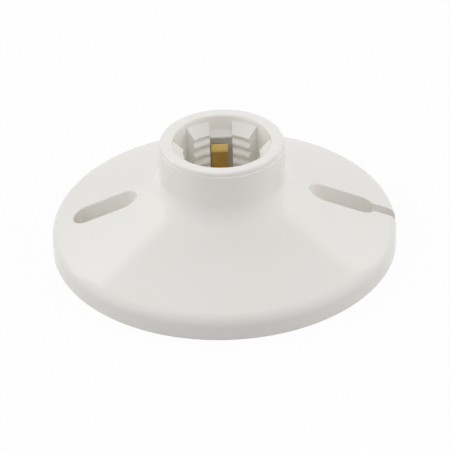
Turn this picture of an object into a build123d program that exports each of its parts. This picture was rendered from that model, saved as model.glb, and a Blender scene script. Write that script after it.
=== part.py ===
from build123d import *
import os
from math import cos, radians, tan

# A keyless lampholder for a ceiling box, in millimetres. The origin is the middle of the base's underside,
# +Z runs up the socket's axis, the mounting slots lie on X and the side contact stands at +Y.

# Base and barrel, one white moulding
BASE_R = 57.15
HEIGHT = 38.4
WALL = 3.0
CONE_ANGLE = 21.9
RIM_HEIGHT = 7.5
RIM_DRAFT = 2.0
RIM_ROUNDING = 3.8
FOOT_ROUNDING = 0.4
BARREL_R = 20.65
BARREL_FILLET = 6.5
LEDGE_ROUNDING = 0.4
LIP_R = 20.15
LIP_HEIGHT = 1.3
LIP_ROUNDING = 0.8
MOUTH_R = 16.06
MOUTH_ROUNDING = 0.6
FLOOR_TOP = 11.0
FLOOR_BOTTOM = 8.0
TUBE_R = MOUTH_R + WALL
HOLLOW_ROUNDING = 1.2

# Mounting slots: deep pockets for the screw heads, each with a narrower slot through its seat
SLOT_X = 39.0
POCKET_LENGTH = 21.2
POCKET_WIDTH = 9.2
POCKET_WALL = 2.2
POCKET_EDGE = 0.4
SEAT_THICKNESS = 3.0
SEAT_SLOT_LENGTH = 16.0
SEAT_SLOT_WIDTH = 5.0
SLIT_WIDTH = 4.3
SLIT_START = 44.0

# Screw socket: five threaded segments, a knuckle thread of medium size, and a groove for the side contact.
# Segments are given as angles from the groove, counter-clockwise seen from above.
PITCH = 3.629
CREST_R = 12.35
ROOT_R = 13.3
TOP_CREST_Z = 33.4
THREAD_TURNS = 4
THREAD_RUNOUT = 0.6
LEAD_IN_TOP = 36.4
LEAD_IN_ANGLE = 40.0
SEGMENTS = ((0.0, 44.5), (77.0, 124.0), (159.0, 201.0), (236.0, 280.0), (313.5, 360.0))
GROOVE_HALF = 3.7
BRIDGE_TOP = 33.0
BRIDGE_R = 13.25
BRIDGE_SLOPE = 0.95
BRIDGE_HEIGHT = 1.95
BRIDGE_ROUNDING = 0.6
BRIDGE_EDGE = 0.45
EMBED = 0.4

# Contacts of strip brass, given by how far their bends stand from the socket's bore and thread
STRIP_WIDTH = 5.6
STRIP_SHIFT = -0.6
STRIP = 0.8
STRIP_BEND = 1.0
FOOT_START = 6.0
HEEL_GAP = 2.16
SHIN_GAP = 1.86
SHIN_Z = 18.0
BOW_BACK = 0.25
BOW_Z = 26.4
TIP_BACK = 1.38
TIP_Z = 28.75
LEAF_WIDTH = 6.0
LEAF = 0.6
LEAF_START = 12.0
LEAF_HEEL = 6.5
LEAF_TOP = 14.6
LEAF_FLAT = 1.8
LEAF_END = 4.2
LEAF_END_DROP = 1.3

# Terminals and their fasteners
RIVET_Y = 9.2
RIVET_R = 1.2
RIVET_HOLE_R = 1.24
RIVET_HEAD_R = 2.1
RIVET_TAIL_R = 2.0
RIVET_HEAD = 0.8
TERMINAL_Y = 27.0
PLATE_HALF_WIDTH = 4.6
PLATE_START = 5.6
PLATE_END = 32.4
PLATE = 0.8
PLATE_BOTTOM = FLOOR_BOTTOM - PLATE
COLLAR_R = 3.1
COLLAR_TOP = 9.8
TAPPED_R = 2.11
LUG_LENGTH = 2.6
LUG_DROP = 2.0
SCREW_R = 2.08
SCREW_POINT = 0.7
SCREW_HEAD_R = 3.95
SCREW_HEAD = 2.2
SCREW_HEAD_ROUNDING = 1.0
SCREW_TIP = 14.0
DRIVER_SLOT = 1.1
BOSS_HALF_WIDTH = 6.6
BOSS_END = 33.4
BOSS_HOLE_R = 3.4
BOSS_HOLE_TOP = 15.2

# Stiffening ribs under the cone
RIB_ANGLES = (45, 135, 225, 315)
RIB_THICKNESS = 2.0
RIB_BOTTOM = 3.0

# How far a cutting body runs past the face that it cuts
PAST = 1.0

rim_corner_r = BASE_R - RIM_HEIGHT * tan(radians(RIM_DRAFT))


def cone_z(r):
    """Height of the cone's outer face at a radius."""
    return RIM_HEIGHT + (rim_corner_r - r) * tan(radians(CONE_ANGLE))


def section(points, roundings=()):
    """A closed outline of (radius, height) points with some corners rounded, standing in the XZ plane."""
    face = make_face(Polyline(*points, close=True))
    for corner, radius in roundings:
        vertex = face.vertices().sort_by_distance((*corner, 0))[0]
        face = fillet(vertex, radius)
    return Plane.XZ * face


def stadium(length, width, bottom, top):
    return Pos(0, 0, bottom) * extrude(SlotOverall(length, width), top - bottom)


def block(x0, x1, y0, y1, z0, z1):
    return Pos((x0 + x1) / 2, (y0 + y1) / 2, (z0 + z1) / 2) * Box(x1 - x0, y1 - y0, z1 - z0)


def drum(radius, bottom, top):
    return Pos(0, 0, (bottom + top) / 2) * Cylinder(radius, top - bottom)


# The moulding's outside, with the plain socket bore
ledge_z = HEIGHT - LIP_HEIGHT
rim_corner = (rim_corner_r, RIM_HEIGHT)
barrel_corner = (BARREL_R, cone_z(BARREL_R))
outside = revolve(
    section(
        (
            (0, 0),
            (BASE_R, 0),
            rim_corner,
            barrel_corner,
            (BARREL_R, ledge_z),
            (LIP_R, ledge_z),
            (LIP_R, HEIGHT),
            (MOUTH_R, HEIGHT),
            (MOUTH_R, FLOOR_TOP),
            (0, FLOOR_TOP),
        ),
        (
            ((BASE_R, 0), FOOT_ROUNDING),
            (rim_corner, RIM_ROUNDING),
            (barrel_corner, BARREL_FILLET),
            ((BARREL_R, ledge_z), LEDGE_ROUNDING),
            ((LIP_R, HEIGHT), LIP_ROUNDING),
            ((MOUTH_R, HEIGHT), MOUTH_ROUNDING),
        ),
    ),
    Axis.Z,
)

# The hollow underside leaves an even wall under the cone and a tube round the socket
wall_drop = WALL / cos(radians(CONE_ANGLE))
inner_rim_r = BASE_R - WALL
hollow_rim = (inner_rim_r, cone_z(inner_rim_r) - wall_drop)
hollow_top = (TUBE_R, cone_z(TUBE_R) - wall_drop)
hollow = revolve(
    section(
        ((0, 0), (inner_rim_r, 0), hollow_rim, hollow_top, (TUBE_R, FLOOR_BOTTOM), (0, FLOOR_BOTTOM)),
        ((hollow_rim, HOLLOW_ROUNDING), (hollow_top, HOLLOW_ROUNDING)),
    ),
    Axis.Z,
)
body = outside - hollow

# Pocket walls, terminal bosses and stiffening ribs stand inside the hollow
pocket_wall = stadium(POCKET_LENGTH + 2 * POCKET_WALL, POCKET_WIDTH + 2 * POCKET_WALL, 0, HEIGHT)
supports = Pos(SLOT_X, 0, 0) * pocket_wall + Pos(-SLOT_X, 0, 0) * pocket_wall
slit_cheek = SLIT_WIDTH / 2 + POCKET_WALL
supports += block(SLIT_START, BASE_R, -slit_cheek, slit_cheek, 0, HEIGHT)
for side in (1, -1):
    ends = sorted((side * (TUBE_R - PAST), side * BOSS_END))
    supports += block(-BOSS_HALF_WIDTH, BOSS_HALF_WIDTH, *ends, FLOOR_BOTTOM, HEIGHT)
for angle in RIB_ANGLES:
    rib = block(TUBE_R - PAST, BASE_R - PAST, -RIB_THICKNESS / 2, RIB_THICKNESS / 2, RIB_BOTTOM, HEIGHT)
    supports += Rot(0, 0, angle) * rib
body += supports & outside

# Pockets from above with rounded mouths, and slots through their seats
pocket = stadium(POCKET_LENGTH, POCKET_WIDTH, SEAT_THICKNESS, HEIGHT)
seat_slot = stadium(SEAT_SLOT_LENGTH, SEAT_SLOT_WIDTH, -PAST, SEAT_THICKNESS + PAST)
for side in (1, -1):
    body -= Pos(side * SLOT_X, 0, 0) * pocket
pocket_outer_z = cone_z(SLOT_X + POCKET_LENGTH / 2)
mouth_edges = [
    edge
    for edge in body.edges()
    if abs(abs(edge.center().X) - SLOT_X) < POCKET_LENGTH / 2 + POCKET_EDGE
    and abs(edge.center().Y) < POCKET_WIDTH / 2 + POCKET_EDGE
    and edge.bounding_box().min.Z > pocket_outer_z - POCKET_EDGE
]
body = fillet(mouth_edges, POCKET_EDGE)
for side in (1, -1):
    body -= Pos(side * SLOT_X, 0, 0) * seat_slot

# The slit that opens one slot to the rim
body -= block(SLIT_START, BASE_R + PAST, -SLIT_WIDTH / 2, SLIT_WIDTH / 2, -PAST, HEIGHT)


def threaded_section(crest_z):
    """The section of one socket segment: a wavy knuckle thread of equal arcs, cut off by the lead-in."""
    middle = (CREST_R + ROOT_R) / 2
    buried = MOUTH_R + EMBED
    top = crest_z + PITCH + PITCH / 4
    edges = [Line((buried, top), (middle, top))]
    height = top
    for turn in range(THREAD_TURNS + 1):
        crest_end = height - PITCH / 2
        root_end = height - PITCH
        edges.append(
            ThreePointArc((middle, height), (CREST_R, height - PITCH / 4), (middle, crest_end))
        )
        edges.append(
            ThreePointArc((middle, crest_end), (ROOT_R, height - 3 * PITCH / 4), (middle, root_end))
        )
        height = root_end
    edges.append(Polyline((middle, height), (ROOT_R, height - THREAD_RUNOUT), (ROOT_R, FLOOR_TOP)))
    edges.append(Polyline((ROOT_R, FLOOR_TOP), (buried, FLOOR_TOP), (buried, top)))
    inside = CREST_R - PAST
    lead_in_drop = (MOUTH_R - inside) * tan(radians(LEAD_IN_ANGLE))
    above = HEIGHT + PITCH * 2
    lead_in = make_face(
        Polyline(
            (buried + PAST, LEAD_IN_TOP),
            (MOUTH_R, LEAD_IN_TOP),
            (inside, LEAD_IN_TOP - lead_in_drop),
            (inside, above),
            (buried + PAST, above),
            close=True,
        )
    )
    return Plane.XZ * (make_face(edges) - lead_in)


# Socket segments: the thread climbs one pitch a turn, so each segment's crests stand higher than the last
segments = None
for start, stop in SEGMENTS:
    turn = ((start + stop) / 2 / 360 + 0.5) % 1 - 0.5
    segment = revolve(threaded_section(TOP_CREST_Z + turn * PITCH), Axis.Z, revolution_arc=stop - start)
    segment = Rot(0, 0, 90 + start) * segment
    segments = segment if segments is None else segments + segment
segments -= block(-GROOVE_HALF, GROOVE_HALF, 0, MOUTH_R + PAST, FLOOR_TOP, HEIGHT)
body += segments

# The bridge over the groove: a bar with a rounded nose, outside the thread, above the side contact's tip
bridge_bottom = BRIDGE_TOP - BRIDGE_HEIGHT
nose_top = (BRIDGE_R, BRIDGE_TOP - BRIDGE_SLOPE)
nose_bottom = (BRIDGE_R, bridge_bottom)
bridge = extrude(
    section(
        (
            (MOUTH_R + EMBED, BRIDGE_TOP),
            (MOUTH_R, BRIDGE_TOP),
            nose_top,
            nose_bottom,
            (MOUTH_R + EMBED, bridge_bottom),
        ),
        ((nose_top, BRIDGE_ROUNDING), (nose_bottom, BRIDGE_EDGE)),
    ),
    GROOVE_HALF + EMBED / 2,
    both=True,
)
body += Rot(0, 0, 90) * bridge

# Holes for the rivets through the floor and for the terminal screws in their bosses
for side in (1, -1):
    body -= Pos(0, side * RIVET_Y, 0) * drum(RIVET_HOLE_R, FLOOR_BOTTOM - PAST, FLOOR_TOP + PAST)
    body -= Pos(0, side * TERMINAL_Y, 0) * drum(BOSS_HOLE_R, FLOOR_BOTTOM - PAST, BOSS_HOLE_TOP)


def bent_strip(path, width, thickness):
    """Strip metal folded along a path of (y, z) points, with rounded bends."""
    outline = trace(FilletPolyline(*path, radius=STRIP_BEND), thickness)
    return extrude(Plane.YZ * outline, width / 2, both=True)


# Side contact: a foot on the floor, a spring bowed into the socket and a tip that leans back under the bridge.
# It lies towards one side of its groove.
foot_z = FLOOR_TOP + STRIP / 2
side_path = (
    (FOOT_START, foot_z),
    (MOUTH_R - HEEL_GAP, foot_z),
    (MOUTH_R - SHIN_GAP, SHIN_Z),
    (CREST_R + BOW_BACK, BOW_Z),
    (CREST_R + TIP_BACK, TIP_Z),
)
side_contact = Pos(STRIP_SHIFT, 0, 0) * bent_strip(side_path, STRIP_WIDTH, STRIP)
side_contact -= Pos(0, RIVET_Y, 0) * drum(RIVET_HOLE_R, FLOOR_TOP - PAST, FLOOR_TOP + STRIP + PAST)

# Centre contact: a leaf that rises from its riveted foot to the socket's axis
leaf_z = FLOOR_TOP + LEAF / 2
leaf_path = (
    (-LEAF_START, leaf_z),
    (-LEAF_HEEL, leaf_z),
    (-LEAF_FLAT, LEAF_TOP),
    (LEAF_FLAT, LEAF_TOP),
    (LEAF_END, LEAF_TOP - LEAF_END_DROP),
)
centre_contact = bent_strip(leaf_path, LEAF_WIDTH, LEAF)
centre_contact -= Pos(0, -RIVET_Y, 0) * drum(RIVET_HOLE_R, FLOOR_TOP - PAST, FLOOR_TOP + LEAF + PAST)


def terminal_plate():
    """A terminal plate with a drawn and tapped collar, and two lugs that keep the wire under the screw."""
    plate = block(-PLATE_HALF_WIDTH, PLATE_HALF_WIDTH, PLATE_START, PLATE_END, PLATE_BOTTOM, FLOOR_BOTTOM)
    plate += Pos(0, TERMINAL_Y, 0) * drum(COLLAR_R, PLATE_BOTTOM, COLLAR_TOP)
    for side in (1, -1):
        edge = sorted((side * PLATE_HALF_WIDTH, side * (PLATE_HALF_WIDTH - PLATE)))
        plate += block(*edge, PLATE_END - LUG_LENGTH, PLATE_END, PLATE_BOTTOM - LUG_DROP, PLATE_BOTTOM)
    plate -= Pos(0, TERMINAL_Y, 0) * drum(TAPPED_R, PLATE_BOTTOM - PAST, COLLAR_TOP + PAST)
    plate -= Pos(0, RIVET_Y, 0) * drum(RIVET_HOLE_R, PLATE_BOTTOM - PAST, FLOOR_BOTTOM + PAST)
    return plate


def rivet(grip_top):
    """A rivet with a domed head on the contact and a flat set tail under the plate."""
    tail_bottom = PLATE_BOTTOM - RIVET_HEAD
    head_top = grip_top + RIVET_HEAD
    shape = section(
        (
            (0, tail_bottom),
            (RIVET_TAIL_R, tail_bottom),
            (RIVET_TAIL_R, PLATE_BOTTOM),
            (RIVET_R, PLATE_BOTTOM),
            (RIVET_R, grip_top),
            (RIVET_HEAD_R, grip_top),
            (RIVET_HEAD_R, head_top),
            (0, head_top),
        ),
        (((RIVET_HEAD_R, head_top), RIVET_HEAD * 0.75), ((RIVET_TAIL_R, tail_bottom), RIVET_HEAD * 0.25)),
    )
    return Pos(0, RIVET_Y, 0) * revolve(shape, Axis.Z)


def terminal_screw():
    """A binding head screw, driven from below, its slot facing down."""
    head_bottom = PLATE_BOTTOM - SCREW_HEAD
    shape = section(
        (
            (0, head_bottom),
            (SCREW_HEAD_R, head_bottom),
            (SCREW_HEAD_R, PLATE_BOTTOM),
            (SCREW_R, PLATE_BOTTOM),
            (SCREW_R, SCREW_TIP - SCREW_POINT),
            (SCREW_R - SCREW_POINT, SCREW_TIP),
            (0, SCREW_TIP),
        ),
        (((SCREW_HEAD_R, head_bottom), SCREW_HEAD_ROUNDING),),
    )
    screw = revolve(shape, Axis.Z)
    reach = SCREW_HEAD_R + PAST
    half_slot = DRIVER_SLOT / 2
    screw -= block(-reach, reach, -half_slot, half_slot, head_bottom - PAST, head_bottom + SCREW_HEAD / 2)
    return Pos(0, TERMINAL_Y, 0) * screw


half_turn = Rot(0, 0, 180)
parts = {
    "body": body,
    "side_contact": side_contact,
    "centre_contact": centre_contact,
    "side_terminal": terminal_plate(),
    "centre_terminal": half_turn * terminal_plate(),
    "side_rivet": rivet(FLOOR_TOP + STRIP),
    "centre_rivet": half_turn * rivet(FLOOR_TOP + LEAF),
    "side_screw": terminal_screw(),
    "centre_screw": half_turn * terminal_screw(),
}

os.makedirs("parts", exist_ok=True)
for name, part in parts.items():
    solid = part.solid()
    print(name, "volume", round(solid.volume, 1), "valid", solid.is_valid)
    export_step(solid, "parts/" + name + ".step")
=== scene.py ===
# %% [markdown]
# A ceiling lampholder in Blender
#
# The object is a white moulded lampholder: a shallow conical base, a short barrel with a screw
# socket, and two slots for the box screws. The exact solids come from the CAD model. This lesson
# gives them their finishes, cuts the fine threads that the solids leave out, cuts the contact springs
# into short lengths, and sets up the light and the camera.

# %% Load the CAD frame
import math
import bmesh
import bpy
from mathutils import Matrix, Vector


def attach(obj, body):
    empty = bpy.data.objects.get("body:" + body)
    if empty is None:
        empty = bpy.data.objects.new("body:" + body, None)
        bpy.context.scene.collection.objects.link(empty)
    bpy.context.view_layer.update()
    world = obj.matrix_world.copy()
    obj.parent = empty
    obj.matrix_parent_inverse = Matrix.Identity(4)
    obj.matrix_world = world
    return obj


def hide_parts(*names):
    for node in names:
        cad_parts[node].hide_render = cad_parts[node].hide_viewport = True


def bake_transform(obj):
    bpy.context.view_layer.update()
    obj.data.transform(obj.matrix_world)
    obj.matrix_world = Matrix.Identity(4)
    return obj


MM = 0.001

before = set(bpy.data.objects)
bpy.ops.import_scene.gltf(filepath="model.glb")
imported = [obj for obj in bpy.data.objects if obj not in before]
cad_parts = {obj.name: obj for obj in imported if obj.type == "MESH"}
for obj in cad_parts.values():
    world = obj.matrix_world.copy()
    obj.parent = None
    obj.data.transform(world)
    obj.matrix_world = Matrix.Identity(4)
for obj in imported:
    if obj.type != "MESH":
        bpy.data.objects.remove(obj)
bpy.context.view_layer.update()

# %% [markdown]
# The camera stands in front and looks down at about 34 degrees, from 0.8 m away. A long lens keeps
# the perspective as gentle as a product photograph's. The picture leans a little to one side, so the
# camera is rolled by almost two degrees, and a small lens shift puts the base where the photograph
# has it.

# %% Camera
CAMERA_DISTANCE = 0.8
CAMERA_TURN = math.radians(-0.7)
CAMERA_ELEVATION = math.radians(33.857)
CAMERA_ROLL = math.radians(-1.763)
CAMERA_LENS = 192.17
SENSOR_WIDTH = 36.0
LENS_SHIFT = (0.0008, 0.0309)

camera_data = bpy.data.cameras.new("product_camera")
camera_data.lens = CAMERA_LENS
camera_data.sensor_width = SENSOR_WIDTH
camera_data.shift_x, camera_data.shift_y = LENS_SHIFT
camera = bpy.data.objects.new("product_camera", camera_data)
bpy.context.scene.collection.objects.link(camera)
camera_place = Vector((0, -math.cos(CAMERA_ELEVATION), math.sin(CAMERA_ELEVATION))) * CAMERA_DISTANCE
camera_place.rotate(Matrix.Rotation(CAMERA_TURN, 3, "Z"))
aim = (-camera_place).to_track_quat("-Z", "Y").to_matrix().to_4x4()
camera.matrix_world = Matrix.Translation(camera_place) @ aim @ Matrix.Rotation(CAMERA_ROLL, 4, "Z")
bpy.context.scene.camera = camera
print("camera at", tuple(round(value, 3) for value in camera_place))

# %% [markdown]
# Glossy white things are photographed in a tent of white sheets, because a bare lamp would burn a
# hole into the gloss. What the cone mirrors decides how it looks: the two straight lines down its
# front are the top edge of a bright sheet behind it. So the light here is made of the same few
# things, an even sky and four glowing sheets. The sky and the floor are white where the camera or a
# reflection looks at them, and plain to the light itself. From below, and under the hollow base, the
# floor is clear, so that the sky lights the underside for a look at it.

# %% Sky
SKY_LEVEL = 0.31
WHITE = (1, 1, 1, 1)

bpy.context.scene.view_settings.view_transform = "Standard"


def add_node(tree, kind, **settings):
    """Adds a node and sets its own fields, such as an operation."""
    node = tree.nodes.new(kind)
    for name, value in settings.items():
        setattr(node, name, value)
    return node


def seen_directly(tree):
    """A value of 1 for rays from the camera, a reflection or glass, and 0 for the light itself."""
    path = add_node(tree, "ShaderNodeLightPath")
    camera_or_gloss = add_node(tree, "ShaderNodeMath", operation="MAXIMUM")
    tree.links.new(path.outputs["Is Camera Ray"], camera_or_gloss.inputs[0])
    tree.links.new(path.outputs["Is Glossy Ray"], camera_or_gloss.inputs[1])
    any_of_them = add_node(tree, "ShaderNodeMath", operation="MAXIMUM")
    tree.links.new(camera_or_gloss.outputs["Value"], any_of_them.inputs[0])
    tree.links.new(path.outputs["Is Transmission Ray"], any_of_them.inputs[1])
    return any_of_them.outputs["Value"]


world = bpy.data.worlds.new("studio_sky")
bpy.context.scene.world = world
world.use_nodes = True
sky = world.node_tree
sky.nodes.clear()
sky_out = add_node(sky, "ShaderNodeOutputWorld")
sky_light = add_node(sky, "ShaderNodeBackground")
sky_light.inputs["Color"].default_value = WHITE
sky_light.inputs["Strength"].default_value = SKY_LEVEL
sky_white = add_node(sky, "ShaderNodeBackground")
sky_white.inputs["Color"].default_value = WHITE
sky_white.inputs["Strength"].default_value = 1.0
sky_mix = add_node(sky, "ShaderNodeMixShader")
sky.links.new(seen_directly(sky), sky_mix.inputs["Fac"])
sky.links.new(sky_light.outputs["Background"], sky_mix.inputs[1])
sky.links.new(sky_white.outputs["Background"], sky_mix.inputs[2])
sky.links.new(sky_mix.outputs["Shader"], sky_out.inputs["Surface"])
print("sky at", SKY_LEVEL)

# %% Floor
FLOOR_HALF = 6.0
FLOOR_COLOUR = (0.4, 0.4, 0.4, 1)
FLOOR_WHITE_SHARE = 0.88
FLOOR_WHITE_LEVEL = 1.08
CLEAR_RADIUS = 50 * MM


def flat_sheet(name, corners):
    """A four-cornered sheet of the studio, which isn't part of the object."""
    mesh = bpy.data.meshes.new(name)
    mesh.from_pydata(corners, [], [(0, 1, 2, 3)])
    sheet = bpy.data.objects.new(name, mesh)
    bpy.context.scene.collection.objects.link(sheet)
    return sheet


def empty_material(name):
    material = bpy.data.materials.new(name)
    material.use_nodes = True
    material.node_tree.nodes.clear()
    return material, material.node_tree


floor = flat_sheet(
    "pale_floor",
    [
        (-FLOOR_HALF, -FLOOR_HALF, 0),
        (FLOOR_HALF, -FLOOR_HALF, 0),
        (FLOOR_HALF, FLOOR_HALF, 0),
        (-FLOOR_HALF, FLOOR_HALF, 0),
    ],
)
print("floor", 2 * FLOOR_HALF, "m wide")

# %% Floor paint
floor_material, tree = empty_material("pale_floor")
floor_out = add_node(tree, "ShaderNodeOutputMaterial")
floor_paint = add_node(tree, "ShaderNodeBsdfDiffuse")
floor_paint.inputs["Color"].default_value = FLOOR_COLOUR
floor_white = add_node(tree, "ShaderNodeEmission")
floor_white.inputs["Strength"].default_value = FLOOR_WHITE_LEVEL
floor_share = add_node(tree, "ShaderNodeMath", operation="MULTIPLY")
floor_share.inputs[1].default_value = FLOOR_WHITE_SHARE
floor_mix = add_node(tree, "ShaderNodeMixShader")
tree.links.new(seen_directly(tree), floor_share.inputs[0])
tree.links.new(floor_share.outputs["Value"], floor_mix.inputs["Fac"])
tree.links.new(floor_paint.outputs["BSDF"], floor_mix.inputs[1])
tree.links.new(floor_white.outputs["Emission"], floor_mix.inputs[2])
print("floor white to the camera by", FLOOR_WHITE_SHARE)

# %% Clear side of the floor
floor_place = add_node(tree, "ShaderNodeTexCoord")
from_middle = add_node(tree, "ShaderNodeVectorMath", operation="LENGTH")
tree.links.new(floor_place.outputs["Object"], from_middle.inputs[0])
under_part = add_node(tree, "ShaderNodeMath", operation="LESS_THAN")
under_part.inputs[1].default_value = CLEAR_RADIUS
tree.links.new(from_middle.outputs["Value"], under_part.inputs[0])
floor_side = add_node(tree, "ShaderNodeNewGeometry")
see_through = add_node(tree, "ShaderNodeMath", operation="MAXIMUM")
tree.links.new(under_part.outputs["Value"], see_through.inputs[0])
tree.links.new(floor_side.outputs["Backfacing"], see_through.inputs[1])
floor_clear = add_node(tree, "ShaderNodeBsdfTransparent")
floor_whole = add_node(tree, "ShaderNodeMixShader")
tree.links.new(see_through.outputs["Value"], floor_whole.inputs["Fac"])
tree.links.new(floor_mix.outputs["Shader"], floor_whole.inputs[1])
tree.links.new(floor_clear.outputs["BSDF"], floor_whole.inputs[2])
tree.links.new(floor_whole.outputs["Shader"], floor_out.inputs["Surface"])
floor.data.materials.append(floor_material)
print("floor clear from below, and within", CLEAR_RADIUS, "m of the axis")

# %% [markdown]
# Each sheet glows and lets the white sky behind it through, as thin cloth does, so it only ever adds
# light. The front and side sheets glow evenly. They are hidden from reflections: the photograph shows
# no gleam on the foot of the barrel or on the rim's rounding, where they would mirror. The back sheet
# is brighter towards its top, a little brighter on the left, and its top edge is crisp on the left
# and soft on the right, as the two lines on the cone show.

# %% Glowing sheets
FRONT_LEVEL = 0.93
SIDE_LEVEL = 1.62
FRONT_HALF_WIDTH = 3.0
FRONT_LOW = (-2.5, 1.4)
FRONT_HIGH = (-1.6, 2.8)
SIDE_X = 2.5
SIDE_DEPTH = (-1.5, 1.2)
SIDE_HEIGHT = (0.1, 2.0)
BACK_Y = 1.6
BACK_TOP = 2.8
BACK_HALF_WIDTH = 5.0


def glowing_material(name, level):
    """Cloth that glows: see-through plus an even glow."""
    material, tree = empty_material(name)
    out = add_node(tree, "ShaderNodeOutputMaterial")
    glow = add_node(tree, "ShaderNodeEmission")
    glow.inputs["Strength"].default_value = level
    clear = add_node(tree, "ShaderNodeBsdfTransparent")
    both = add_node(tree, "ShaderNodeAddShader")
    tree.links.new(glow.outputs["Emission"], both.inputs[0])
    tree.links.new(clear.outputs["BSDF"], both.inputs[1])
    tree.links.new(both.outputs["Shader"], out.inputs["Surface"])
    return material, glow


def glowing_sheet(name, corners, material):
    sheet = flat_sheet(name, corners)
    sheet.visible_camera = False
    sheet.data.materials.append(material)
    return sheet


front_material = glowing_material("front_glow", FRONT_LEVEL)[0]
front_corners = [
    (-FRONT_HALF_WIDTH, *FRONT_LOW),
    (FRONT_HALF_WIDTH, *FRONT_LOW),
    (FRONT_HALF_WIDTH, *FRONT_HIGH),
    (-FRONT_HALF_WIDTH, *FRONT_HIGH),
]
front_sheet = glowing_sheet("front_sheet", front_corners, front_material)
front_sheet.visible_glossy = False
side_material = glowing_material("side_glow", SIDE_LEVEL)[0]
near_y, far_y = SIDE_DEPTH
low_z, high_z = SIDE_HEIGHT
for side_name, side_x in (("left_sheet", -SIDE_X), ("right_sheet", SIDE_X)):
    side_corners = [
        (side_x, near_y, low_z),
        (side_x, far_y, low_z),
        (side_x, far_y, high_z),
        (side_x, near_y, high_z),
    ]
    side_sheet = glowing_sheet(side_name, side_corners, side_material)
    side_sheet.visible_glossy = False
print("front sheet at", FRONT_LEVEL, "and side sheets at", SIDE_LEVEL)

# %% Back sheet with its gradient
BACK_TOP_LEVEL = 1.62
BACK_DARK_BELOW = 0.35
BACK_SIDES = (-1, 1)
BACK_LEFT_SHARE = 1.12
BACK_RIGHT_SHARE = 0.85
BACK_LEFT_SOFTNESS = 0.05
BACK_RIGHT_SOFTNESS = 0.38


def map_range(tree, value, from_low, from_high, to_low, to_high):
    """Maps a value from one range to another and stops at its ends."""
    node = add_node(tree, "ShaderNodeMapRange")
    node.inputs["From Min"].default_value = from_low
    node.inputs["From Max"].default_value = from_high
    node.inputs["To Min"].default_value = to_low
    node.inputs["To Max"].default_value = to_high
    tree.links.new(value, node.inputs["Value"])
    return node


def product(tree, first, second):
    node = add_node(tree, "ShaderNodeMath", operation="MULTIPLY")
    tree.links.new(first, node.inputs[0])
    tree.links.new(second, node.inputs[1])
    return node.outputs["Value"]


back_material, back_glow = glowing_material("back_glow", BACK_TOP_LEVEL)
tree = back_material.node_tree
back_place = add_node(tree, "ShaderNodeTexCoord")
back_axes = add_node(tree, "ShaderNodeSeparateXYZ")
tree.links.new(back_place.outputs["Object"], back_axes.inputs["Vector"])
left_edge = BACK_TOP - BACK_LEFT_SOFTNESS
right_edge = BACK_TOP - BACK_RIGHT_SOFTNESS
by_height = map_range(tree, back_axes.outputs["Z"], BACK_DARK_BELOW, BACK_TOP, 0, BACK_TOP_LEVEL)
by_side = map_range(tree, back_axes.outputs["X"], *BACK_SIDES, BACK_LEFT_SHARE, BACK_RIGHT_SHARE)
edge_start = map_range(tree, back_axes.outputs["X"], *BACK_SIDES, left_edge, right_edge)
top_edge = map_range(tree, back_axes.outputs["Z"], 0, BACK_TOP, 1, 0)
tree.links.new(edge_start.outputs["Result"], top_edge.inputs["From Min"])
level = product(tree, by_height.outputs["Result"], by_side.outputs["Result"])
tree.links.new(product(tree, level, top_edge.outputs["Result"]), back_glow.inputs["Strength"])
glowing_sheet(
    "back_sheet",
    [
        (-BACK_HALF_WIDTH, BACK_Y, 0),
        (BACK_HALF_WIDTH, BACK_Y, 0),
        (BACK_HALF_WIDTH, BACK_Y, BACK_TOP),
        (-BACK_HALF_WIDTH, BACK_Y, BACK_TOP),
    ],
    back_material,
)
print("back sheet", BACK_TOP, "m high, up to", BACK_TOP_LEVEL)

# %% [markdown]
# The finishes share a few effects, so each effect is a node group that is built once. Soft edges
# looks sideways along the surface and bends the normal where two faces meet, because no moulding or
# stamping has a perfectly sharp edge. Patches varies a value slowly over the surface. Relief gives a
# fine height for a bump, and it can be stretched into lines. Dulled mixes a bright metal with its
# tarnish. All of them read Object coordinates, so the pattern stays on the piece.

# %% Helpers for node groups
def new_group(name, inputs, outputs):
    """A shader node group with named sockets, given as name and kind."""
    group = bpy.data.node_groups.new(name, "ShaderNodeTree")
    for socket_name, kind in inputs:
        group.interface.new_socket(name=socket_name, in_out="INPUT", socket_type="NodeSocket" + kind)
    for socket_name, kind in outputs:
        group.interface.new_socket(name=socket_name, in_out="OUTPUT", socket_type="NodeSocket" + kind)
    return group, add_node(group, "NodeGroupInput"), add_node(group, "NodeGroupOutput")


def place_group(tree, group, **values):
    """Puts a group into a material with its own values."""
    node = add_node(tree, "ShaderNodeGroup", node_tree=group)
    for name, value in values.items():
        node.inputs[name.replace("_", " ")].default_value = value
    return node


# %% Soft edges
BEVEL_SAMPLES = 6
AGREE_AT_EDGE = 0.75
AGREE_ON_FLAT = 0.99

soft_edges, given, result = new_group(
    "soft_edges", [("Radius", "Float")], [("Edge", "Float"), ("Normal", "Vector")]
)
rounded = add_node(soft_edges, "ShaderNodeBevel", samples=BEVEL_SAMPLES)
surface = add_node(soft_edges, "ShaderNodeNewGeometry")
agreement = add_node(soft_edges, "ShaderNodeVectorMath", operation="DOT_PRODUCT")
soft_edges.links.new(given.outputs["Radius"], rounded.inputs["Radius"])
soft_edges.links.new(rounded.outputs["Normal"], agreement.inputs[0])
soft_edges.links.new(surface.outputs["Normal"], agreement.inputs[1])
edge_mask = map_range(soft_edges, agreement.outputs["Value"], AGREE_AT_EDGE, AGREE_ON_FLAT, 1, 0)
soft_edges.links.new(edge_mask.outputs["Result"], result.inputs["Edge"])
soft_edges.links.new(rounded.outputs["Normal"], result.inputs["Normal"])
print("group", soft_edges.name)

# %% Patches
CLOUD_DETAIL = 3
CLOUD_LOW = 0.3
CLOUD_HIGH = 0.7

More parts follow.
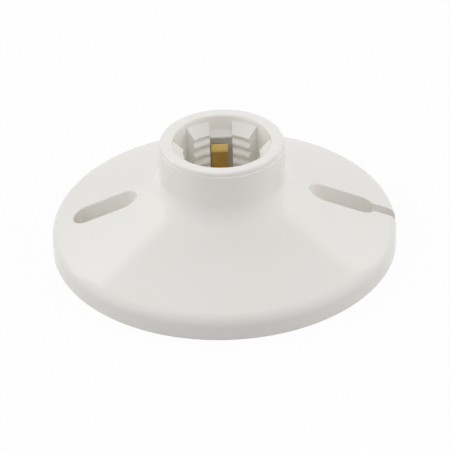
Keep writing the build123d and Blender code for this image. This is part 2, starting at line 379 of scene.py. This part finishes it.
patches, given, result = new_group(
    "patches", [("Scale", "Float"), ("Low", "Float"), ("High", "Float")], [("Value", "Float")]
)
place = add_node(patches, "ShaderNodeTexCoord")
cloud = add_node(patches, "ShaderNodeTexNoise")
cloud.inputs["Detail"].default_value = CLOUD_DETAIL
spread = add_node(patches, "ShaderNodeMapRange")
spread.inputs["From Min"].default_value = CLOUD_LOW
spread.inputs["From Max"].default_value = CLOUD_HIGH
patches.links.new(place.outputs["Object"], cloud.inputs["Vector"])
patches.links.new(given.outputs["Scale"], cloud.inputs["Scale"])
patches.links.new(cloud.outputs["Fac"], spread.inputs["Value"])
patches.links.new(given.outputs["Low"], spread.inputs["To Min"])
patches.links.new(given.outputs["High"], spread.inputs["To Max"])
patches.links.new(spread.outputs["Result"], result.inputs["Value"])
print("group", patches.name)

# %% Relief
RIPPLE_DETAIL = 2

relief, given, result = new_group(
    "relief", [("Scale", "Float"), ("Stretch", "Vector")], [("Height", "Float")]
)
place = add_node(relief, "ShaderNodeTexCoord")
stretched = add_node(relief, "ShaderNodeVectorMath", operation="MULTIPLY")
ripple = add_node(relief, "ShaderNodeTexNoise")
ripple.inputs["Detail"].default_value = RIPPLE_DETAIL
relief.links.new(place.outputs["Object"], stretched.inputs[0])
relief.links.new(given.outputs["Stretch"], stretched.inputs[1])
relief.links.new(stretched.outputs["Vector"], ripple.inputs["Vector"])
relief.links.new(given.outputs["Scale"], ripple.inputs["Scale"])
relief.links.new(ripple.outputs["Fac"], result.inputs["Height"])
print("group", relief.name)

# %% Dulled metal
dulled, given, result = new_group(
    "dulled",
    [("Scale", "Float"), ("Bright", "Color"), ("Dull", "Color"), ("Edge", "Float")],
    [("Colour", "Color")],
)
spots = place_group(dulled, patches, Low=0, High=1)
tarnish = add_node(dulled, "ShaderNodeMix", data_type="RGBA")
rubbed = add_node(dulled, "ShaderNodeMix", data_type="RGBA")
dulled.links.new(given.outputs["Scale"], spots.inputs["Scale"])
dulled.links.new(spots.outputs["Value"], tarnish.inputs["Factor"])
dulled.links.new(given.outputs["Bright"], tarnish.inputs["A"])
dulled.links.new(given.outputs["Dull"], tarnish.inputs["B"])
dulled.links.new(given.outputs["Edge"], rubbed.inputs["Factor"])
dulled.links.new(tarnish.outputs["Result"], rubbed.inputs["A"])
dulled.links.new(given.outputs["Bright"], rubbed.inputs["B"])
dulled.links.new(rubbed.outputs["Result"], result.inputs["Colour"])
print("group", dulled.name)

# %% [markdown]
# The body is a glossy moulding in a warm white. Three things make it plastic and not paint: a faint
# waviness in the gloss, which a mould's polish leaves, a roughness and a tint that drift a little as
# the material flowed, and edges that are never quite sharp. The underside comes off the mould's plain
# core, so faces that look down are duller.

# %% White plastic
PLASTIC = (0.94, 0.92, 0.88, 1)
PLASTIC_FLOW = (0.932, 0.91, 0.866, 1)
PLASTIC_EDGE_RADIUS = 0.3 * MM
PLASTIC_WAVE_HEIGHT = 0.002 * MM
FLOW_SCALE = 35
POLISH_SCALE = 90
POLISH_ROUGHNESS = (0.1, 0.14)
WAVE_SCALE = 500
CORE_ROUGHNESS = 0.3
CORE_FACING = (-0.6, -0.2)


def new_finish(name):
    material = bpy.data.materials.new(name)
    material.use_nodes = True
    return material, material.node_tree, material.node_tree.nodes["Principled BSDF"]


def add_bump(tree, shader, height, normal, distance):
    """A fine bump over a softened normal."""
    bump = add_node(tree, "ShaderNodeBump")
    bump.inputs["Distance"].default_value = distance
    tree.links.new(height, bump.inputs["Height"])
    tree.links.new(normal, bump.inputs["Normal"])
    tree.links.new(bump.outputs["Normal"], shader.inputs["Normal"])


white_plastic, tree, shader = new_finish("white_plastic")
flow = place_group(tree, patches, Scale=FLOW_SCALE, Low=0, High=1)
tint = add_node(tree, "ShaderNodeMix", data_type="RGBA")
tint.inputs["A"].default_value = PLASTIC
tint.inputs["B"].default_value = PLASTIC_FLOW
tree.links.new(flow.outputs["Value"], tint.inputs["Factor"])
tree.links.new(tint.outputs["Result"], shader.inputs["Base Color"])
smoothest, roughest = POLISH_ROUGHNESS
polish = place_group(tree, patches, Scale=POLISH_SCALE, Low=smoothest, High=roughest)
facing = add_node(tree, "ShaderNodeTexCoord")
facing_axes = add_node(tree, "ShaderNodeSeparateXYZ")
tree.links.new(facing.outputs["Normal"], facing_axes.inputs["Vector"])
core_side = map_range(tree, facing_axes.outputs["Z"], *CORE_FACING, CORE_ROUGHNESS, 0)
roughness = add_node(tree, "ShaderNodeMath", operation="ADD")
tree.links.new(polish.outputs["Value"], roughness.inputs[0])
tree.links.new(core_side.outputs["Result"], roughness.inputs[1])
tree.links.new(roughness.outputs["Value"], shader.inputs["Roughness"])
edges = place_group(tree, soft_edges, Radius=PLASTIC_EDGE_RADIUS)
wave = place_group(tree, relief, Scale=WAVE_SCALE, Stretch=(1, 1, 1))
add_bump(tree, shader, wave.outputs["Height"], edges.outputs["Normal"], PLASTIC_WAVE_HEIGHT)
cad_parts["body"].data.materials.clear()
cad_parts["body"].data.materials.append(white_plastic)
print("body in", white_plastic.name)

# %% [markdown]
# The contacts, terminals and rivets are brass strip and wire. Rolling leaves fine lines along the
# strip, so the relief is stretched along its length. Handling and air dull it in patches, and stamped
# edges stay brighter.

# %% Strip brass
BRASS_BRIGHT = (0.71, 0.51, 0.19, 1)
BRASS_DULL = (0.65, 0.45, 0.145, 1)
STAMPED_EDGE_RADIUS = 0.12 * MM
ROLLED_LINE_HEIGHT = 0.002 * MM
ROLLED_LINE_SCALE = 9000
ROLLED_STRETCH = (1, 0.02, 0.02)
BRASS_DULL_SCALE = 220
BRASS_SHEEN_SCALE = 400
BRASS_ROUGHNESS = (0.42, 0.54)

strip_brass, tree, shader = new_finish("strip_brass")
shader.inputs["Metallic"].default_value = 1.0
edges = place_group(tree, soft_edges, Radius=STAMPED_EDGE_RADIUS)
colour = place_group(tree, dulled, Scale=BRASS_DULL_SCALE, Bright=BRASS_BRIGHT, Dull=BRASS_DULL)
tree.links.new(edges.outputs["Edge"], colour.inputs["Edge"])
tree.links.new(colour.outputs["Colour"], shader.inputs["Base Color"])
smoothest, roughest = BRASS_ROUGHNESS
sheen = place_group(tree, patches, Scale=BRASS_SHEEN_SCALE, Low=smoothest, High=roughest)
tree.links.new(sheen.outputs["Value"], shader.inputs["Roughness"])
lines = place_group(tree, relief, Scale=ROLLED_LINE_SCALE, Stretch=ROLLED_STRETCH)
add_bump(tree, shader, lines.outputs["Height"], edges.outputs["Normal"], ROLLED_LINE_HEIGHT)
for name in ("side_terminal", "centre_terminal", "side_rivet", "centre_rivet"):
    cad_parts[name].data.materials.clear()
    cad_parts[name].data.materials.append(strip_brass)
print("terminals and rivets in", strip_brass.name)

# %% [markdown]
# One terminal screw is nickel plated and the other is plain brass, so that the two wires can't be
# mixed up. Both are turned on a lathe, which leaves rings round the axis. The rings are one group,
# centred on each screw.

# %% Screw metals
NICKEL_BRIGHT = (0.74, 0.71, 0.66, 1)
NICKEL_DULL = (0.6, 0.57, 0.52, 1)
SCREW_BRASS_BRIGHT = (0.86, 0.66, 0.32, 1)
SCREW_BRASS_DULL = (0.74, 0.54, 0.23, 1)
SCREW_Y = 27 * MM
TURNED_RING_HEIGHT = 0.002 * MM
TURNED_RING_SCALE = 1800
TURNED_RING_WANDER = 0.6
SCREW_DULL_SCALE = 300
SCREW_SHEEN_SCALE = 500
SCREW_ROUGHNESS = (0.2, 0.32)

turning, given, result = new_group("turning", [("Centre", "Vector")], [("Height", "Float")])
place = add_node(turning, "ShaderNodeTexCoord")
from_axis = add_node(turning, "ShaderNodeVectorMath", operation="SUBTRACT")
rings = add_node(turning, "ShaderNodeTexWave", wave_type="RINGS", rings_direction="Z")
rings.inputs["Scale"].default_value = TURNED_RING_SCALE
rings.inputs["Distortion"].default_value = TURNED_RING_WANDER
turning.links.new(place.outputs["Object"], from_axis.inputs[0])
turning.links.new(given.outputs["Centre"], from_axis.inputs[1])
turning.links.new(from_axis.outputs["Vector"], rings.inputs["Vector"])
turning.links.new(rings.outputs["Fac"], result.inputs["Height"])


def turned_metal(name, bright, dull, centre):
    material, tree, shader = new_finish(name)
    shader.inputs["Metallic"].default_value = 1.0
    edges = place_group(tree, soft_edges, Radius=STAMPED_EDGE_RADIUS)
    colour = place_group(tree, dulled, Scale=SCREW_DULL_SCALE, Bright=bright, Dull=dull)
    tree.links.new(edges.outputs["Edge"], colour.inputs["Edge"])
    tree.links.new(colour.outputs["Colour"], shader.inputs["Base Color"])
    smoothest, roughest = SCREW_ROUGHNESS
    sheen = place_group(tree, patches, Scale=SCREW_SHEEN_SCALE, Low=smoothest, High=roughest)
    tree.links.new(sheen.outputs["Value"], shader.inputs["Roughness"])
    turned = place_group(tree, turning, Centre=centre)
    add_bump(tree, shader, turned.outputs["Height"], edges.outputs["Normal"], TURNED_RING_HEIGHT)
    return material


nickel = turned_metal("nickel_plate", NICKEL_BRIGHT, NICKEL_DULL, (0, SCREW_Y, 0))
screw_brass = turned_metal("turned_brass", SCREW_BRASS_BRIGHT, SCREW_BRASS_DULL, (0, -SCREW_Y, 0))
print("screw metals", nickel.name, screw_brass.name)

# %% [markdown]
# The terminal screws have a fine machine thread, 0.79 mm from turn to turn, which the solids leave
# plain. A thread follows a rule, so it is made with Geometry Nodes: a spiral curve with a small
# four-cornered section swept along it, round a plain core. The spiral is reversed, because Blender's
# own one rises to the left and screws rise to the right. The head is the CAD head, cut off at the
# seat and closed. The tree joins the three.

# %% Inputs of the thread tree
tree = bpy.data.node_groups.new("threaded_shank", "GeometryNodeTree")
tree.interface.new_socket(name="Geometry", in_out="INPUT", socket_type="NodeSocketGeometry")
for socket_name in ("Crest Radius", "Root Radius", "Pitch", "Bottom", "Length", "Point Length", "Axis Y"):
    tree.interface.new_socket(name=socket_name, in_out="INPUT", socket_type="NodeSocketFloat")
tree.interface.new_socket(name="Metal", in_out="INPUT", socket_type="NodeSocketMaterial")
tree.interface.new_socket(name="Geometry", in_out="OUTPUT", socket_type="NodeSocketGeometry")
given = add_node(tree, "NodeGroupInput")
result = add_node(tree, "NodeGroupOutput")


def feed(node, values):
    """Gives each input of a node a socket or a number."""
    for socket, value in zip(node.inputs, values):
        if isinstance(value, (int, float)):
            socket.default_value = value
        else:
            tree.links.new(value, socket)


def calculate(operation, first, second):
    """A Math node on two sockets or numbers."""
    node = add_node(tree, "ShaderNodeMath", operation=operation)
    feed(node, (first, second))
    return node.outputs["Value"]


def at_point(x, y, z=0.0):
    """A Combine XYZ node on sockets or numbers."""
    node = add_node(tree, "ShaderNodeCombineXYZ")
    feed(node, (x, y, z))
    return node.outputs["Vector"]


print("thread tree takes", len(given.outputs) - 1, "inputs")

# %% Ridge of the thread
BURIED_SHARE = -0.3
HALF_FOOT_SHARE = 0.46
HALF_CREST_SHARE = 0.08
ROUND_STEPS = 40

crest = given.outputs["Crest Radius"]
root = given.outputs["Root Radius"]
pitch = given.outputs["Pitch"]
length = given.outputs["Length"]
point_length = given.outputs["Point Length"]
depth = calculate("SUBTRACT", crest, root)
buried = calculate("MULTIPLY", depth, BURIED_SHARE)
half_foot = calculate("MULTIPLY", pitch, HALF_FOOT_SHARE)
half_crest = calculate("MULTIPLY", pitch, HALF_CREST_SHARE)
ridge = add_node(tree, "GeometryNodeCurvePrimitiveQuadrilateral", mode="POINTS")
tree.links.new(at_point(buried, calculate("MULTIPLY", half_foot, -1)), ridge.inputs["Point 1"])
tree.links.new(at_point(depth, calculate("MULTIPLY", half_crest, -1)), ridge.inputs["Point 2"])
tree.links.new(at_point(depth, half_crest), ridge.inputs["Point 3"])
tree.links.new(at_point(buried, half_foot), ridge.inputs["Point 4"])

spiral = add_node(tree, "GeometryNodeCurveSpiral")
spiral.inputs["Resolution"].default_value = ROUND_STEPS
spiral.inputs["Reverse"].default_value = True
tree.links.new(calculate("DIVIDE", length, pitch), spiral.inputs["Rotations"])
tree.links.new(root, spiral.inputs["Start Radius"])
tree.links.new(root, spiral.inputs["End Radius"])
tree.links.new(length, spiral.inputs["Height"])
upright = add_node(tree, "GeometryNodeSetCurveNormal", mode="Z_UP")
tree.links.new(spiral.outputs["Curve"], upright.inputs["Curve"])
sweep = add_node(tree, "GeometryNodeCurveToMesh")
sweep.inputs["Fill Caps"].default_value = True
tree.links.new(upright.outputs["Curve"], sweep.inputs["Curve"])
tree.links.new(ridge.outputs["Curve"], sweep.inputs["Profile Curve"])
print("ridge swept along the spiral")

# %% Core and point of the screw
POINT_END_SHARE = 0.72

core = add_node(tree, "GeometryNodeMeshCylinder")
core.inputs["Vertices"].default_value = ROUND_STEPS
core_length = calculate("ADD", length, pitch)
tree.links.new(root, core.inputs["Radius"])
tree.links.new(core_length, core.inputs["Depth"])
core_place = add_node(tree, "GeometryNodeTransform")
tree.links.new(core.outputs["Mesh"], core_place.inputs["Geometry"])
tree.links.new(at_point(0, 0, calculate("MULTIPLY", core_length, 0.5)), core_place.inputs["Translation"])
point = add_node(tree, "GeometryNodeMeshCone")
point.inputs["Vertices"].default_value = ROUND_STEPS
tree.links.new(root, point.inputs["Radius Bottom"])
tree.links.new(calculate("MULTIPLY", root, POINT_END_SHARE), point.inputs["Radius Top"])
tree.links.new(point_length, point.inputs["Depth"])
point_place = add_node(tree, "GeometryNodeTransform")
tree.links.new(point.outputs["Mesh"], point_place.inputs["Geometry"])
tree.links.new(at_point(0, 0, core_length), point_place.inputs["Translation"])
print("core and point in place")

# %% Whole screw
shank = add_node(tree, "GeometryNodeJoinGeometry")
for piece in (sweep.outputs["Mesh"], core_place.outputs["Geometry"], point_place.outputs["Geometry"]):
    tree.links.new(piece, shank.inputs["Geometry"])
shank_place = add_node(tree, "GeometryNodeTransform")
tree.links.new(shank.outputs["Geometry"], shank_place.inputs["Geometry"])
foot_place = at_point(0, given.outputs["Axis Y"], given.outputs["Bottom"])
tree.links.new(foot_place, shank_place.inputs["Translation"])
whole = add_node(tree, "GeometryNodeJoinGeometry")
tree.links.new(shank_place.outputs["Geometry"], whole.inputs["Geometry"])
tree.links.new(given.outputs["Geometry"], whole.inputs["Geometry"])
real = add_node(tree, "GeometryNodeRealizeInstances")
finish = add_node(tree, "GeometryNodeSetMaterial")
tree.links.new(whole.outputs["Geometry"], real.inputs["Geometry"])
tree.links.new(real.outputs["Geometry"], finish.inputs["Geometry"])
tree.links.new(given.outputs["Metal"], finish.inputs["Material"])
tree.links.new(finish.outputs["Geometry"], result.inputs["Geometry"])
thread_tree = tree
print("thread tree with", len(thread_tree.nodes), "nodes")

# %% Sizes of the terminal screws
SCREW_SEAT = 7.2 * MM
SCREW_TIP = 14 * MM
THREAD_CREST_R = 2.08 * MM
THREAD_ROOT_R = 1.6 * MM
THREAD_PITCH = 0.794 * MM
THREAD_LENGTH = 5.5 * MM
SEAT_OVERLAP = 0.1 * MM
MERGE_DISTANCE = 0.001 * MM
SMOOTH_ANGLE = math.radians(35)
FLAT_ANGLE = math.radians(0.5)
print("thread of", round(THREAD_LENGTH / THREAD_PITCH, 1), "turns")


# %% Copies of CAD meshes
def merged_copy(node_name):
    """A CAD mesh with its loose triangles joined."""
    shape = bmesh.new()
    shape.from_mesh(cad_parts[node_name].data)
    bmesh.ops.remove_doubles(shape, verts=shape.verts, dist=MERGE_DISTANCE)
    return shape


def new_piece(name, shape, material):
    """A mesh object at the origin, smooth but for its sharp edges."""
    mesh = bpy.data.meshes.new(name)
    shape.to_mesh(mesh)
    shape.free()
    piece = bpy.data.objects.new(name, mesh)
    bpy.context.scene.collection.objects.link(piece)
    mesh.materials.append(material)
    mesh.shade_smooth()
    mesh.set_sharp_from_angle(angle=SMOOTH_ANGLE)
    return piece


# %% Screw heads
def screw_head(node_name):
    """The head below the seat, closed where the shank was."""
    shape = merged_copy(node_name)
    everything = shape.verts[:] + shape.edges[:] + shape.faces[:]
    seat = (0, 0, SCREW_SEAT)
    bmesh.ops.bisect_plane(
        shape, geom=everything, dist=MERGE_DISTANCE, plane_co=seat, plane_no=(0, 0, 1), clear_outer=True
    )
    bmesh.ops.holes_fill(shape, edges=shape.edges)
    bmesh.ops.dissolve_limit(shape, angle_limit=FLAT_ANGLE, verts=shape.verts, edges=shape.edges)
    return shape


# %% Threaded terminal screws
def set_inputs(modifier, values):
    """Sets a modifier's inputs by the sockets' identifiers."""
    for item in modifier.node_group.interface.items_tree:
        if item.item_type == "SOCKET" and item.in_out == "INPUT" and item.name in values:
            modifier[item.identifier] = values[item.name]


def threaded_screw(node_name, axis_y, metal):
    piece = new_piece(node_name + "_threaded", screw_head(node_name), metal)
    modifier = piece.modifiers.new("thread", "NODES")
    modifier.node_group = thread_tree
    bottom = SCREW_SEAT - SEAT_OVERLAP
    point_length = SCREW_TIP - bottom - THREAD_LENGTH - THREAD_PITCH
    set_inputs(
        modifier,
        {
            "Crest Radius": THREAD_CREST_R,
            "Root Radius": THREAD_ROOT_R,
            "Pitch": THREAD_PITCH,
            "Bottom": bottom,
            "Length": THREAD_LENGTH,
            "Point Length": point_length,
            "Axis Y": axis_y,
            "Metal": metal,
        },
    )
    evaluated = piece.evaluated_get(bpy.context.evaluated_depsgraph_get())
    mesh = bpy.data.meshes.new_from_object(evaluated)
    piece.modifiers.remove(modifier)
    piece.data = mesh
    mesh.shade_smooth()
    mesh.set_sharp_from_angle(angle=SMOOTH_ANGLE)
    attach(piece, node_name)
    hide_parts(node_name)
    return piece


side_screw = threaded_screw("side_screw", SCREW_Y, nickel)
centre_screw = threaded_screw("centre_screw", -SCREW_Y, screw_brass)
for piece, axis_y in ((side_screw, SCREW_Y), (centre_screw, -SCREW_Y)):
    above_seat = SCREW_SEAT + THREAD_PITCH
    shank_points = [vertex.co for vertex in piece.data.vertices if vertex.co.z > above_seat]
    widest = max(math.hypot(point.x, point.y - axis_y) for point in shank_points)
    print(piece.name, len(piece.data.polygons), "faces, thread", round(2 * widest / MM, 2), "mm across")

# %% [markdown]
# The two contacts are springs: the foot stays riveted to the floor and the rest bends when a lamp is
# screwed in. A hinge would fold the strip at one line, so a bend has to blend from the base to the
# moving end, and for that the strip needs points along its length. So each contact is a copy of its
# CAD strip, cut into short lengths. Its stamped edges get a real small rounding first.

# %% Contact springs
STRIP_EDGE = 0.12 * MM
CUT_STEP = 0.6 * MM
SHARP_EDGE = math.radians(60)
UP = (0, 0, 1)
ALONG_LEAF = (0, 1, 0)
SIDE_CUTS = (12.2 * MM, 28.6 * MM)
LEAF_CUTS = (-7 * MM, 4 * MM)


def spring_strip(node_name, along, first, last):
    """A CAD strip with rounded edges, cut into short lengths across one direction."""
    shape = merged_copy(node_name)
    bmesh.ops.dissolve_limit(shape, angle_limit=FLAT_ANGLE, verts=shape.verts, edges=shape.edges)
    sharp = [edge for edge in shape.edges if edge.is_manifold and edge.calc_face_angle() > SHARP_EDGE]
    bmesh.ops.bevel(
        shape, geom=sharp, offset=STRIP_EDGE, offset_type="OFFSET", segments=2, profile=0.5, affect="EDGES"
    )
    distance = first
    while distance < last:
        everything = shape.verts[:] + shape.edges[:] + shape.faces[:]
        bmesh.ops.bisect_plane(
            shape, geom=everything, dist=MERGE_DISTANCE, plane_co=Vector(along) * distance, plane_no=along
        )
        distance += CUT_STEP
    bmesh.ops.triangulate(shape, faces=shape.faces)
    return shape


side_strip = spring_strip("side_contact", UP, *SIDE_CUTS)
side_contact = new_piece("side_contact_spring", side_strip, strip_brass)
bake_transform(side_contact)
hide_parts("side_contact")
centre_strip = spring_strip("centre_contact", ALONG_LEAF, *LEAF_CUTS)
centre_contact = new_piece("centre_contact_spring", centre_strip, strip_brass)
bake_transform(centre_contact)
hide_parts("centre_contact")
for piece in (side_contact, centre_contact):
    print(piece.name, len(piece.data.polygons), "faces")
